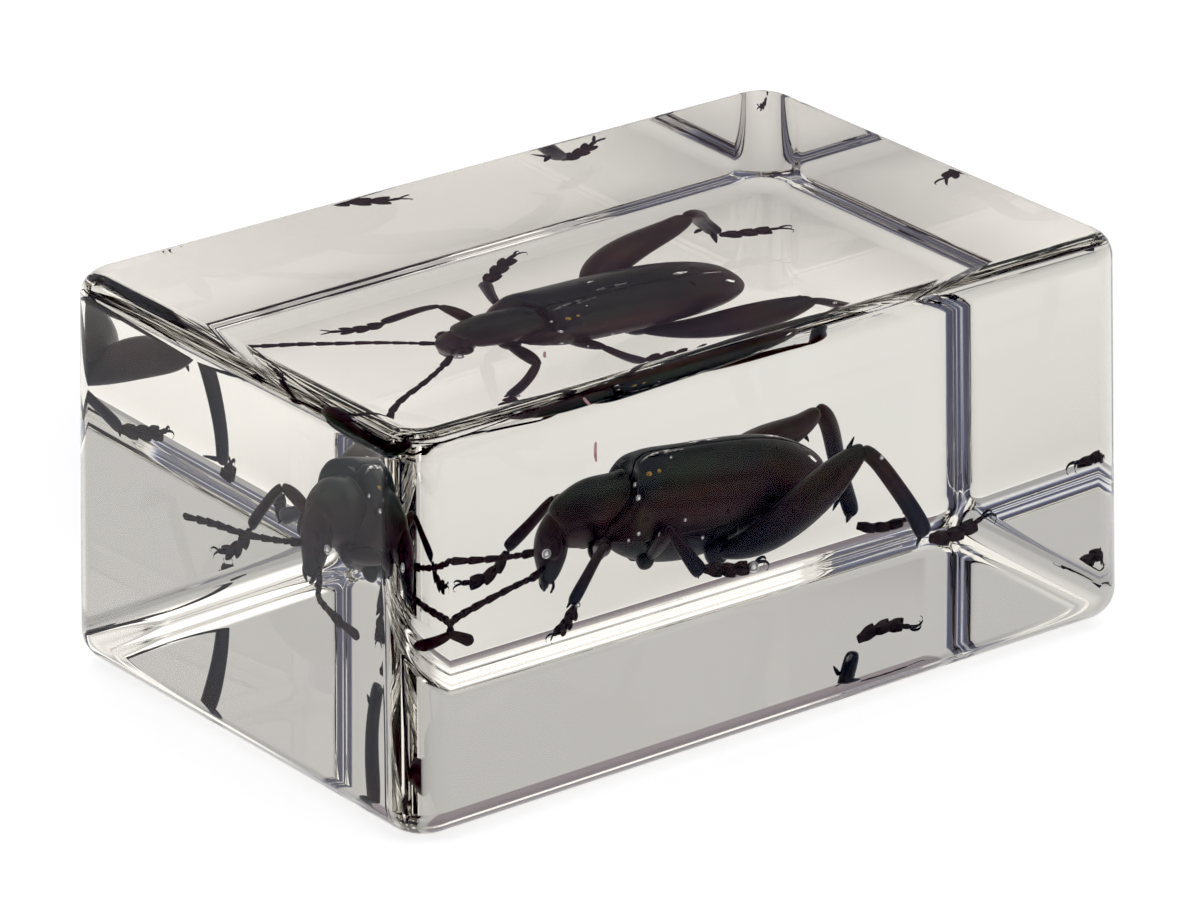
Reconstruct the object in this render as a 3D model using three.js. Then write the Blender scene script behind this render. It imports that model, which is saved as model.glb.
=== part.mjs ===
// A small insect paperweight: a solid block of clear casting resin, rounded on every edge.
// Millimetres, +Z up. The origin is the middle of the flat underside, X runs along the block.
import * as THREE from 'three';

// Driving dimensions
const LENGTH = 43.5;          // along X, between the sloping sides where they meet the underside
const WIDTH = 28.6;           // along Y, at the same height
const HEIGHT = 20;            // underside to top face
const DRAFT = 0.36;           // how far each side leans in from bottom to top, so that a mould lets go
const CORNER_RADIUS = 2.2;    // the four upright edges
const TOP_RADIUS = 1.25;      // the edge around the top face
const BOTTOM_RADIUS = 1.6;    // the edge around the underside

// How finely the round edges are cut into flats
const CORNER_STEPS = 16;      // flats around each upright edge
const TOP_STEPS = 8;          // flats over the top edge
const BOTTOM_STEPS = 10;      // flats under the bottom edge

const clearResin = new THREE.MeshStandardMaterial({
  name: 'clear resin',
  color: 0xf2f0ea,
  roughness: 0.03,
  metalness: 0,
  transparent: true,
  opacity: 0.35,
});

// The points of one level outline: a rectangle with round corners, anticlockwise seen from above.
// inset is how far the rounded edge has already pulled the outline in at this height.
function outlineAt(z, inset) {
  const lean = DRAFT * z / HEIGHT;
  const halfLength = LENGTH / 2 - lean - inset;
  const halfWidth = WIDTH / 2 - lean - inset;
  const radius = CORNER_RADIUS - inset;
  const centres = [[1, 1], [-1, 1], [-1, -1], [1, -1]];
  const points = [];
  centres.forEach(([sideX, sideY], quarter) => {
    for (let step = 0; step <= CORNER_STEPS; step += 1) {
      const angle = (quarter + step / CORNER_STEPS) * Math.PI / 2;
      points.push([
        sideX * (halfLength - radius) + radius * Math.cos(angle),
        sideY * (halfWidth - radius) + radius * Math.sin(angle),
        z,
      ]);
    }
  });
  return points;
}

// The levels from the underside to the top face. The rounded edges take many, the sides need none.
function blockLevels() {
  const levels = [];
  for (let step = 0; step <= BOTTOM_STEPS; step += 1) {
    const angle = step / BOTTOM_STEPS * Math.PI / 2;
    const z = BOTTOM_RADIUS * (1 - Math.cos(angle));
    levels.push(outlineAt(z, BOTTOM_RADIUS * (1 - Math.sin(angle))));
  }
  for (let step = 0; step <= TOP_STEPS; step += 1) {
    const angle = step / TOP_STEPS * Math.PI / 2;
    const z = HEIGHT - TOP_RADIUS * (1 - Math.sin(angle));
    levels.push(outlineAt(z, TOP_RADIUS * (1 - Math.cos(angle))));
  }
  return levels;
}

// One closed body: a wall of triangles from level to level, and a fan for each flat end.
function closedBody(levels) {
  const count = levels[0].length;
  const positions = levels.flat(2);
  const indices = [];
  for (let level = 0; level + 1 < levels.length; level += 1) {
    for (let i = 0; i < count; i += 1) {
      const next = (i + 1) % count;
      const [a, b] = [level * count + i, level * count + next];
      const [c, d] = [a + count, b + count];
      indices.push(a, b, d, a, d, c);
    }
  }
  const underside = positions.length / 3;
  positions.push(0, 0, 0, 0, 0, HEIGHT);
  const top = underside + 1;
  const lastLevel = (levels.length - 1) * count;
  for (let i = 0; i < count; i += 1) {
    const next = (i + 1) % count;
    indices.push(underside, next, i);
    indices.push(top, lastLevel + i, lastLevel + next);
  }
  const geometry = new THREE.BufferGeometry();
  geometry.setAttribute('position', new THREE.Float32BufferAttribute(positions, 3));
  geometry.setIndex(indices);
  geometry.computeVertexNormals();
  return geometry;
}

const block = new THREE.Mesh(closedBody(blockLevels()), clearResin);
block.name = 'resin_block';

const insectBlock = new THREE.Group();
insectBlock.name = 'insect_in_resin_block';
insectBlock.add(block);

export default insectBlock;
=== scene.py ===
# %% [markdown]
# # A beetle sealed in a block of clear resin
# The object is a paperweight: a frog-legged leaf beetle cast into a clear block with rounded edges.
# The block is one smooth body of glass-like material, and everything else lies inside it, so most of
# this lesson is about building an insect from small parts: wing cases, legs, feet and feelers.

# %% Load the frame
import math

import bpy
from mathutils import Euler, Matrix, Vector


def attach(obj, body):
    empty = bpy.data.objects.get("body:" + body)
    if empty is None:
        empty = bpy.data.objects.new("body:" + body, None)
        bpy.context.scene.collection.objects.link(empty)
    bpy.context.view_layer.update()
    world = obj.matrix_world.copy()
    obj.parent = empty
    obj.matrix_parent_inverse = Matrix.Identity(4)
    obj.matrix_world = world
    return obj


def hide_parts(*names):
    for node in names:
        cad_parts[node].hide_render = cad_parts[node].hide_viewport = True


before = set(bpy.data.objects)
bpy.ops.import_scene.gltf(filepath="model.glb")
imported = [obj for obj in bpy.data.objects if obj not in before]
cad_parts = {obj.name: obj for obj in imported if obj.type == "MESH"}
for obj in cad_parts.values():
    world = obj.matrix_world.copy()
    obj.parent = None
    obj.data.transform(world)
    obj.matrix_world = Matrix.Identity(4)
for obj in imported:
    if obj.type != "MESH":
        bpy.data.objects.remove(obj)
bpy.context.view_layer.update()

# %% [markdown]
# ## The camera
# The block is seen from its front left corner and a little above, through a long lens, which keeps its
# upright edges nearly parallel. The camera could be aimed with a Track To constraint. Here its three
# directions are worked out from angles, because it also leans to one side by a fraction of a degree.

# %% Place the camera
MM = 0.001
CAMERA_TURN = math.radians(-37.325)
CAMERA_RISE = math.radians(22.701)
CAMERA_LEAN = math.radians(-0.286)
CAMERA_DISTANCE = 375.2 * MM
CAMERA_TARGET = Vector((-0.02, 0, 9.106)) * MM
SENSOR_WIDTH = 36
LENS_LENGTH = 234.15


def aim_camera():
    """Adds the camera and returns it."""
    away = Vector((
        math.sin(CAMERA_TURN) * math.cos(CAMERA_RISE),
        -math.cos(CAMERA_TURN) * math.cos(CAMERA_RISE),
        math.sin(CAMERA_RISE),
    ))
    level = Vector((0, 0, 1)).cross(away).normalized()
    upright = away.cross(level)
    right = level * math.cos(CAMERA_LEAN) + upright * math.sin(CAMERA_LEAN)
    up = upright * math.cos(CAMERA_LEAN) - level * math.sin(CAMERA_LEAN)
    place = CAMERA_TARGET + away * CAMERA_DISTANCE
    bpy.ops.object.select_all(action="DESELECT")
    bpy.ops.object.camera_add()
    camera = bpy.context.object
    camera.name = "camera"
    camera.matrix_world = Matrix((
        (right.x, up.x, away.x, place.x),
        (right.y, up.y, away.y, place.y),
        (right.z, up.z, away.z, place.z),
        (0, 0, 0, 1),
    ))
    camera.data.sensor_width = SENSOR_WIDTH
    camera.data.lens = LENS_LENGTH
    camera.data.clip_start = 0.01
    camera.data.clip_end = 10
    bpy.context.scene.camera = camera
    return camera


camera = aim_camera()
print("Camera at", [round(value, 4) for value in camera.matrix_world.translation])

# %% [markdown]
# ## Patterns that several finishes share
# Chitin, resin and paint are never one flat colour. Two node groups give that change: one makes a
# soft cloudy value between two limits, and one makes the small pits that cover a beetle's back.
# A group is built once and placed in each material with its own numbers. One helper adds a node and
# fills its inputs, each with a plain value or with a link from another node.


# %% Build the node groups
def add_node(tree, kind, inputs, **settings):
    """Adds a node. inputs holds plain values, and outputs to link, by name or number."""
    node = tree.nodes.new(kind)
    for label, value in settings.items():
        setattr(node, label, value)
    for label, value in inputs.items():
        if isinstance(value, bpy.types.NodeSocket):
            tree.links.new(value, node.inputs[label])
        else:
            node.inputs[label].default_value = value
    return node


def new_group(name, numbers):
    """Starts a shader group with a vector input and number inputs. It puts out one number."""
    group = bpy.data.node_groups.new(name, "ShaderNodeTree")
    group.interface.new_socket("Vector", in_out="INPUT", socket_type="NodeSocketVector")
    for label, value in numbers.items():
        socket = group.interface.new_socket(label, in_out="INPUT", socket_type="NodeSocketFloat")
        socket.default_value = value
    group.interface.new_socket("Value", in_out="OUTPUT", socket_type="NodeSocketFloat")
    return group, group.nodes.new("NodeGroupInput").outputs


def cloudy_group():
    """A soft cloudy value between Low and High."""
    group, given = new_group("cloudy change", {"Scale": 500, "Low": 0, "High": 1})
    noise = add_node(group, "ShaderNodeTexNoise", {
        "Vector": given["Vector"], "Scale": given["Scale"], "Detail": 4})
    spread = add_node(group, "ShaderNodeMapRange", {
        "Value": noise.outputs["Fac"], "From Min": 0.3, "From Max": 0.7,
        "To Min": given["Low"], "To Max": given["High"]})
    add_node(group, "NodeGroupOutput", {"Value": spread.outputs["Result"]})
    return group


def pits_group():
    """The height of a surface with small round pits in it."""
    group, given = new_group("small pits", {"Scale": 6000, "Size": 0.35})
    cells = add_node(group, "ShaderNodeTexVoronoi", {
        "Vector": given["Vector"], "Scale": given["Scale"]})
    bowl = add_node(group, "ShaderNodeMath", {
        0: cells.outputs["Distance"], 1: given["Size"]}, operation="DIVIDE")
    flat = add_node(group, "ShaderNodeMath", {0: bowl.outputs[0], 1: 1}, operation="MINIMUM")
    add_node(group, "NodeGroupOutput", {"Value": flat.outputs[0]})
    return group


CLOUDY = cloudy_group()
PITS = pits_group()
print("Node groups:", CLOUDY.name, "and", PITS.name)

# %% [markdown]
# A material here is one Principled BSDF. The helpers below place a group, a colour ramp and a bump in
# its tree, so that each finish that follows can be read as a short list of choices.


# %% Helpers for materials
def new_material(name, **sockets):
    """Starts a material, and sets plain values on its Principled BSDF by socket name."""
    material = bpy.data.materials.new(name)
    material.use_nodes = True
    tree = material.node_tree
    shader = tree.nodes["Principled BSDF"]
    for label, value in sockets.items():
        shader.inputs[label.replace("_", " ")].default_value = value
    return material, tree, shader


def feed(tree, shader, source, *labels):
    """Links an output to sockets of the shader."""
    for label in labels:
        tree.links.new(source, shader.inputs[label])


def object_position(tree):
    return tree.nodes.new("ShaderNodeTexCoord").outputs["Object"]


def place_group(tree, group, **values):
    """Puts a shared group in a material, reading Object coordinates, and returns its output."""
    node = tree.nodes.new("ShaderNodeGroup")
    node.node_tree = group
    tree.links.new(object_position(tree), node.inputs["Vector"])
    for label, value in values.items():
        node.inputs[label].default_value = value
    return node.outputs[0]


def ramp(tree, source, stops):
    """Turns a value into colours. stops holds (position, colour)."""
    node = add_node(tree, "ShaderNodeValToRGB", {"Fac": source})
    while len(node.color_ramp.elements) < len(stops):
        node.color_ramp.elements.new(0.5)
    for element, (position, colour) in zip(node.color_ramp.elements, stops):
        element.position = position
        element.color = (*colour, 1)
    return node.outputs["Color"]


def grey(value):
    return (value, value, value)


def mixed(tree, amount, first, second, how="MIX"):
    """Mixes two colours."""
    return add_node(
        tree, "ShaderNodeMix", {"Factor": amount, "A": first, "B": second},
        data_type="RGBA", blend_type=how).outputs["Result"]


def multiplied(tree, first, second):
    return mixed(tree, 1, first, second, "MULTIPLY")


def clouds(tree, scale, low, high, reach=(0.0, 1.0)):
    """A colour that drifts between two, as soft clouds do."""
    return ramp(tree, place_group(tree, CLOUDY, Scale=scale), [(reach[0], low), (reach[1], high)])


def cloudy_gloss(tree, shader, scale, low, high):
    """Lets the roughness drift between two values."""
    feed(tree, shader, place_group(tree, CLOUDY, Scale=scale, Low=low, High=high), "Roughness")


def pitted(tree, shader, scale, size, distance, strength):
    """Gives the surface small pits, through a Bump node."""
    bump = add_node(tree, "ShaderNodeBump", {
        "Height": place_group(tree, PITS, Scale=scale, Size=size),
        "Distance": distance, "Strength": strength})
    feed(tree, shader, bump.outputs["Normal"], "Normal")


def slant(tree):
    """A value of 0 where a face is looked at squarely, and 1 where it is looked along."""
    return add_node(tree, "ShaderNodeLayerWeight", {"Blend": 0.5}).outputs["Facing"]


# %% [markdown]
# ## Clear resin
# Casting resin bends light a little more than window glass, so its index is 1.58. It has a faint warm
# tint, in two shares. Volume Absorption tints light by the distance it travels, and is kept weak,
# because light that is trapped in a rounded edge goes round and round and would turn olive there.
# Base Color gives the rest: it tints light each time it crosses the surface, by a tone that drifts a
# little from place to place. The faces are polished, so the roughness is nought.

# %% Resin
RESIN_INDEX = 1.58


def resin_finish():
    material, tree, shader = new_material(
        "clear casting resin", Roughness=0.0, IOR=RESIN_INDEX, Transmission_Weight=1.0,
        Specular_Tint=(0.25, 0.25, 0.28, 1))
    feed(tree, shader, clouds(tree, 90, (0.845, 0.825, 0.78), (0.865, 0.845, 0.80)), "Base Color")
    tint = add_node(tree, "ShaderNodeVolumeAbsorption", {
        "Color": (0.667, 0.596, 0.408, 1), "Density": 3.0})
    tree.links.new(tint.outputs["Volume"], tree.nodes["Material Output"].inputs["Volume"])
    return material


RESIN = resin_finish()
print("Made", RESIN.name)

# %% [markdown]
# ## Beetle skin
# A dead leaf beetle in resin looks nearly black, because the resin takes away most of the gloss that a
# shell has in air: a low index gives that. What is left is a metallic glow. It changes from dark green
# on the back to copper and wine red lower on the sides, and to blue-black below. The change follows
# the height in the block and is broken up by the cloudy group. The pits give it a fine grain.

# %% Skin and joints
SKIN_INDEX = 1.25
SKIN_BOTTOM = 5.5 * MM
SKIN_TOP = 12.5 * MM
SKIN_BY_HEIGHT = [
    (0.0, (0.022, 0.030, 0.052)),
    (0.30, (0.026, 0.029, 0.044)),
    (0.50, (0.052, 0.024, 0.028)),
    (0.66, (0.058, 0.030, 0.022)),
    (0.80, (0.034, 0.044, 0.030)),
    (1.0, (0.016, 0.032, 0.038)),
]
SKIN_BY_PATCH = [
    (0.0, (0.016, 0.022, 0.038)),
    (0.5, (0.034, 0.026, 0.032)),
    (1.0, (0.036, 0.044, 0.032)),
]


def skin_finish():
    material, tree, shader = new_material("dark metallic beetle skin", Metallic=0.55, IOR=SKIN_INDEX)
    height = add_node(tree, "ShaderNodeSeparateXYZ", {"Vector": object_position(tree)})
    level = add_node(tree, "ShaderNodeMapRange", {
        "Value": height.outputs["Z"], "From Min": SKIN_BOTTOM, "From Max": SKIN_TOP})
    by_height = ramp(tree, level.outputs["Result"], SKIN_BY_HEIGHT)
    by_patch = ramp(tree, place_group(tree, CLOUDY, Scale=420), SKIN_BY_PATCH)
    share = place_group(tree, CLOUDY, Scale=260, Low=0.15, High=0.75)
    feed(tree, shader, mixed(tree, share, by_height, by_patch), "Base Color")
    cloudy_gloss(tree, shader, 900, 0.26, 0.42)
    pitted(tree, shader, 5200, 0.4, 0.002 * MM, 0.1)
    return material


def joint_finish():
    material, tree, shader = new_material("dull joint skin", Metallic=0.0, IOR=1.2)
    feed(tree, shader, clouds(tree, 1500, (0.020, 0.018, 0.024), (0.050, 0.030, 0.030)), "Base Color")
    cloudy_gloss(tree, shader, 2500, 0.5, 0.75)
    pitted(tree, shader, 14000, 0.5, 0.02 * MM, 0.6)
    return material


SKIN = skin_finish()
JOINT = joint_finish()
print("Made", SKIN.name, "and", JOINT.name)

# %% [markdown]
# ## Air, painted golden glints and the fibre
# Air in resin mirrors all light that meets it at a slant. A round bubble shows bright in the middle and
# at the rim with a dark ring between, and that pattern of light is painted by a ramp on Layer Weight's
# Facing value. A thin film is silver in patches. The thinnest films along the seam only shine when they
# are looked along, and one more ramp on Facing paints that sheen. So little light comes back out
# through the resin that air is also given a faint painted glow in the same colours. Three golden specks
# are painted glints: small golden mirrors where the metallic skin throws golden to reddish highlights.
# The fibre is pale pink cotton.


# %% Air, golden glints and fibre
def air_finish():
    # Trapped air: a mirror with a painted glow, and a ramp on Facing that paints its highlights: a
    # bright middle, a dark ring and a bright rim.
    material, tree, shader = new_material("trapped air with painted highlights and glow", Metallic=1.0, Emission_Strength=0.3)
    colour = ramp(tree, slant(tree), [
        (0.0, grey(0.95)),
        (0.12, (0.30, 0.30, 0.32)),
        (0.40, (0.16, 0.16, 0.18)),
        (0.62, (0.95, 0.95, 0.92)),
        (1.0, (0.85, 0.86, 0.90)),
    ])
    feed(tree, shader, colour, "Base Color", "Emission Color")
    cloudy_gloss(tree, shader, 4000, 0.05, 0.3)
    return material


def film_finish(name, squarely):
    """A film of air with a painted glow. squarely is the share of its silver and glow that is left when
    it is looked at squarely; below 1 it paints a sheen seen only when the film is looked along.
    """
    # The film's silver is also its painted glow, so it shines though no lamp lights it.
    material, tree, shader = new_material(name, Metallic=1.0, Emission_Strength=0.5)
    silver = clouds(tree, 2600, (0.05, 0.05, 0.06), (0.95, 0.95, 0.92), reach=(0.25, 0.7))
    share = ramp(tree, slant(tree), [(0.40, grey(squarely)), (0.62, grey(1))])
    feed(tree, shader, multiplied(tree, silver, share), "Base Color", "Emission Color")
    cloudy_gloss(tree, shader, 4000, 0.15, 0.45)
    return material


def golden_glint_finish():
    # Painted glints: small golden mirrors where the metallic skin throws golden to reddish highlights.
    material, tree, shader = new_material("painted golden glint", Metallic=1.0)
    feed(tree, shader, clouds(tree, 5000, (0.30, 0.14, 0.03), (0.62, 0.42, 0.14)), "Base Color")
    cloudy_gloss(tree, shader, 4000, 0.2, 0.5)
    return material


def fibre_finish():
    material, tree, shader = new_material("pink fibre", Roughness=0.8)
    feed(tree, shader, clouds(tree, 3000, (0.66, 0.30, 0.38), (0.84, 0.55, 0.60)), "Base Color")
    return material


AIR = air_finish()
FILM = film_finish("thin air film with painted glow", 1.0)
SEAM_FILM = film_finish("thinnest air film with painted sheen and glow", 0.12)
GOLDEN_GLINT = golden_glint_finish()
FIBRE = fibre_finish()
print("Made", AIR.name, "/", FILM.name, "/", SEAM_FILM.name, "/", GOLDEN_GLINT.name, "/", FIBRE.name)

# %% [markdown]
# ## Working at a thousand times the size
# The beetle's claws are a tenth of a millimetre thick, and edit-mode tools such as merge and bevel
# are made for bigger things. So each piece is modelled with one Blender unit for a millimetre, and is
# shrunk to its real size when it is finished. The helpers here start a piece, pick out parts of it by
# place, and finish it: normals out, smooth, real size, place kept in the mesh, riding on the block.


# %% Helpers for pieces
PIECES = []
MERGE_DISTANCE = 0.0005


def let_go():
    """Leaves edit mode and lets go of everything."""
    if bpy.context.object and bpy.context.object.mode != "OBJECT":
        bpy.ops.object.mode_set(mode="OBJECT")
    bpy.ops.object.select_all(action="DESELECT")


def hold(piece):
    """Makes one piece the selected and active one."""
    let_go()
    piece.select_set(True)
    bpy.context.view_layer.objects.active = piece


def just_added():
    """The primitive just added, with its place, turn and scale kept in its mesh."""
    bpy.ops.object.transform_apply(location=True, rotation=True, scale=True)
    return bpy.context.object


def edit_all(piece):
    """Goes to edit mode with everything selected."""
    hold(piece)
    bpy.ops.object.mode_set(mode="EDIT")
    bpy.ops.mesh.select_all(action="SELECT")


def pick(piece, kind, test):
    """Goes to edit mode with the vertices, edges or faces selected for which test is true."""
    hold(piece)
    bpy.ops.object.mode_set(mode="EDIT")
    bpy.ops.mesh.select_mode(type=kind)
    bpy.ops.mesh.select_all(action="DESELECT")
    bpy.ops.object.mode_set(mode="OBJECT")
    mesh = piece.data
    if kind == "VERT":
        for vertex in mesh.vertices:
            vertex.select = test(vertex.co)
    elif kind == "EDGE":
        for edge in mesh.edges:
            first, second = (mesh.vertices[index].co for index in edge.vertices)
            edge.select = test(first, second)
    else:
        for face in mesh.polygons:
            face.select = test(face.center, face.normal)
    bpy.ops.object.mode_set(mode="EDIT")


def pull(piece, test, way, reach):
    """Moves vertices, and by proportional editing what lies within reach of them."""
    pick(piece, "VERT", test)
    bpy.ops.transform.translate(
        value=way, use_proportional_edit=True,
        proportional_edit_falloff="SMOOTH", proportional_size=reach)


def near(place, reach):
    """A test for pull: is a vertex within reach of a place?"""
    return lambda co: (co - Vector(place)).length < reach


def apply_modifier(piece, kind, **settings):
    """Adds a modifier to a piece, sets it and applies it."""
    hold(piece)
    modifier = piece.modifiers.new(kind.lower(), kind)
    for label, value in settings.items():
        setattr(modifier, label, value)
    bpy.ops.object.modifier_apply(modifier=modifier.name)


def smoother(piece, times=2):
    """Rounds a piece off with Subdivision Surface."""
    apply_modifier(piece, "SUBSURF", levels=times, render_levels=times)


def copy_of(piece):
    """A copy with a mesh of its own."""
    twin = piece.copy()
    twin.data = piece.data.copy()
    bpy.context.scene.collection.objects.link(twin)
    return twin


def place_by(piece, matrix):
    """Moves a piece and keeps the place in its mesh."""
    hold(piece)
    piece.matrix_world = matrix @ piece.matrix_world
    bpy.ops.object.transform_apply(location=True, rotation=True, scale=True)


def face_outwards(piece):
    """Merges doubles and turns every face outwards."""
    edit_all(piece)
    bpy.ops.mesh.remove_doubles(threshold=MERGE_DISTANCE)
    bpy.ops.mesh.normals_make_consistent(inside=False)
    bpy.ops.object.mode_set(mode="OBJECT")


def join_pieces(parts):
    """Joins parts into the first of them."""
    let_go()
    for part in parts:
        part.select_set(True)
    bpy.context.view_layer.objects.active = parts[0]
    bpy.ops.object.join()
    return parts[0]


def finish_piece(piece, name, material):
    """Names a piece, brings it to its real size and fixes it in the block."""
    face_outwards(piece)
    bpy.ops.object.shade_smooth()
    place_by(piece, Matrix.Scale(MM, 4))
    piece.name = name
    piece.data.name = name
    piece.data.materials.clear()
    piece.data.materials.append(material)
    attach(piece, "root")
    PIECES.append(piece)
    return piece


def skin_piece(piece, name):
    """Finishes a piece that has the beetle's metallic skin."""
    return finish_piece(piece, name, SKIN)


# %% [markdown]
# ## The resin block
# The block starts as a cube of the full size. Its top face is scaled in a little, because a casting
# needs sloping sides to leave its mould. The upright edges are bevelled first, with a wide radius, and
# then the edge round the top and the edge round the underside, which are rounder below. Weighted
# normals keep the big faces perfectly flat, and that matters in a clear block: a flat face that is
# shaded as if it were curved would bend the picture of everything inside.

# %% Model the block
BLOCK_LENGTH = 43.5
BLOCK_WIDTH = 28.6
BLOCK_HEIGHT = 20
BLOCK_LEAN = 0.36
CORNER_RADIUS = 2.2
TOP_RADIUS = 1.25
BOTTOM_RADIUS = 1.6


def model_block():
    let_go()
    bpy.ops.mesh.primitive_cube_add(
        size=1, location=(0, 0, BLOCK_HEIGHT / 2), scale=(BLOCK_LENGTH, BLOCK_WIDTH, BLOCK_HEIGHT))
    block = just_added()
    pick(block, "FACE", lambda centre, normal: normal.z > 0.9)
    narrower = (1 - 2 * BLOCK_LEAN / BLOCK_LENGTH, 1 - 2 * BLOCK_LEAN / BLOCK_WIDTH, 1)
    bpy.ops.transform.resize(value=narrower, center_override=(0, 0, BLOCK_HEIGHT))
    rounds = (
        (lambda a, b: abs(a.z - b.z) > 1, CORNER_RADIUS, 24),
        (lambda a, b: min(a.z, b.z) > BLOCK_HEIGHT - 0.01, TOP_RADIUS, 12),
        (lambda a, b: max(a.z, b.z) < 0.01, BOTTOM_RADIUS, 16),
    )
    for test, radius, steps in rounds:
        pick(block, "EDGE", test)
        bpy.ops.mesh.bevel(offset=radius, segments=steps, profile=0.5, clamp_overlap=False)
    return block


block = finish_piece(model_block(), "clear_block", RESIN)
apply_modifier(block, "WEIGHTED_NORMAL", weight=100, keep_sharp=False)
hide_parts("resin_block")
sides_mm = [round(side / MM, 2) for side in block.dimensions]
print("Block:", len(block.data.polygons), "faces,", sides_mm, "mm")

# %% [markdown]
# ## Growing a part ring by ring
# Legs, feelers and the body itself are all long round shapes whose width changes along a curved line.
# A curve with a taper could make the thin ones, but not a thigh that is flatter than it is high. So
# one helper does what a modeller does by hand: it adds a filled circle, extrudes it along the line,
# turns each new ring to face along the line, and scales it in its own two directions. With no window
# the rotate tool turns the other way and needs to be told its centre.


# %% Grow helper
SMALLEST_TURN = 1e-5
DOME_SHARE = 0.55


def ring_frame(forward, side):
    """The directions of a ring, as a matrix whose columns are its width, its height and its way on."""
    ahead = forward.normalized()
    across = (side - side.dot(ahead) * ahead).normalized()
    return Matrix((across, ahead.cross(across), ahead)).transposed()


def turn_selected(turn, centre):
    """Turns what is selected by a rotation matrix, one axis after another."""
    for axis, angle in zip("XYZ", turn.to_euler("XYZ")):
        if abs(angle) > SMALLEST_TURN:
            bpy.ops.transform.rotate(
                value=-angle, orient_axis=axis, orient_type="GLOBAL", center_override=centre)


def grow(rings, sides=12, side=(0, 1, 0)):
    """Grows a closed part. rings holds (centre, half width, half height) in millimetres."""
    centres = [Vector(centre) for centre, _, _ in rings]
    last = len(rings) - 1
    frames = [
        ring_frame(centres[min(i + 1, last)] - centres[max(i - 1, 0)], Vector(side))
        for i in range(len(rings))
    ]
    let_go()
    bpy.ops.mesh.primitive_circle_add(
        vertices=sides, radius=1, fill_type="NGON", location=centres[0], rotation=frames[0].to_euler())
    bpy.context.object.scale = (rings[0][1], rings[0][2], 1)
    part = just_added()
    edit_all(part)
    bpy.ops.mesh.select_mode(type="FACE")
    for i in range(1, len(rings)):
        step = centres[i] - centres[i - 1]
        bpy.ops.mesh.extrude_region_move(TRANSFORM_OT_translate={"value": step})
        turn_selected(frames[i] @ frames[i - 1].inverted(), centres[i])
        wider = rings[i][1] / rings[i - 1][1]
        higher = rings[i][2] / rings[i - 1][2]
        bpy.ops.transform.resize(
            value=(wider, higher, 1), orient_type="GLOBAL", orient_matrix_type="GLOBAL",
            orient_matrix=frames[i], center_override=centres[i])
    bpy.ops.object.mode_set(mode="OBJECT")
    return part


def rounded(rings):
    """Adds a small ring beyond each end, so that Subdivision Surface closes it as a dome."""
    caps = []
    for (end, wide, high), (inner, _, _) in ((rings[0], rings[1]), (rings[-1], rings[-2])):
        outwards = (Vector(end) - Vector(inner)).normalized()
        tip = Vector(end) + outwards * min(wide, high) * 0.5
        caps.append((tuple(tip), wide * DOME_SHARE, high * DOME_SHARE))
    return [caps[0], *rings, caps[1]]


def spine(rows):
    """Rings along the middle of the body. rows holds (x, z, half width, half height)."""
    return [((x, 0, z), wide, high) for x, z, wide, high in rows]


def limb_rings(rows, height):
    """Rings along a limb. rows holds (x, y, z, half width), and height is for a width of 1."""
    return [((x, y, z), wide, wide * height) for x, y, z, wide in rows]


# %% [markdown]
# ## How the body lies
# The beetle was not set quite square: its body is turned a few degrees and leans, so that its near side
# is lower. Body parts are modelled straight, with the middle of the body on y = 0, and this one matrix
# then lays each of them in its place. Legs and feelers are modelled where they are.

# %% Body placement
BODY_MIDDLE = Vector((1.0, 0.56, 8.9))
BODY_LEAN = math.radians(8)
BODY_TURN = math.radians(-4)
LAY_BODY = (
    Matrix.Translation(BODY_MIDDLE)
    @ Euler((BODY_LEAN, 0, BODY_TURN)).to_matrix().to_4x4()
    @ Matrix.Translation((-BODY_MIDDLE.x, 0, -BODY_MIDDLE.z))
)


def body_part(rings, sides=8):
    """Grows a rounded part of the body and lays it in its place."""
    part = grow(rounded(rings), sides=sides)
    smoother(part)
    place_by(part, LAY_BODY)
    return part


print("The body's middle lies at", tuple(round(value, 2) for value in BODY_MIDDLE), "mm")

# %% [markdown]
# ## Wing cases
# The two hardened fore wings close over the back like a lid with a seam in the middle. One long domed
# body is grown first, because both halves must share one outline. Its lower part is cut away with
# Bisect, the shoulders are pulled up with proportional editing, and the dome is cut in two along the
# seam. Solidify gives each half its real wall, and Subdivision Surface rounds the rim, which leaves a
# fine groove where the halves meet.

# %% Wing cases
WING_CASE_RINGS = spine([
    (-4.5, 10.1, 1.5, 1.2),
    (-4.35, 9.85, 2.2, 1.9),
    (-4.05, 9.65, 2.62, 2.45),
    (-3.4, 9.45, 2.9, 2.92),
    (-2.8, 9.3, 3, 3.08),
    (-1.8, 9.15, 3.06, 3.12),
    (-0.4, 9, 3.12, 3.06),
    (1.2, 8.9, 3.18, 3),
    (2.8, 8.85, 3.18, 2.86),
    (4.4, 8.8, 3.08, 2.62),
    (5.75, 8.75, 2.82, 2.22),
    (6.8, 8.7, 2.45, 1.72),
    (7.65, 8.7, 1.88, 1.14),
    (8.25, 8.7, 1.05, 0.58),
])
WING_CASE_WALL = 0.14
SEAM_GAP = 0.012


def wing_case_dome():
    dome = grow(WING_CASE_RINGS, sides=28)
    smoother(dome, 1)
    edit_all(dome)
    bpy.ops.mesh.bisect(plane_co=(0, 0, 8.6), plane_no=(0.04, 0, 1), clear_inner=True)
    for sign in (-1, 1):
        pull(dome, near((-3.6, sign * 2, 11.3), 0.6), (-0.12, sign * 0.2, 0.12), 1.1)
    bpy.ops.object.mode_set(mode="OBJECT")
    return dome


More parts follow.
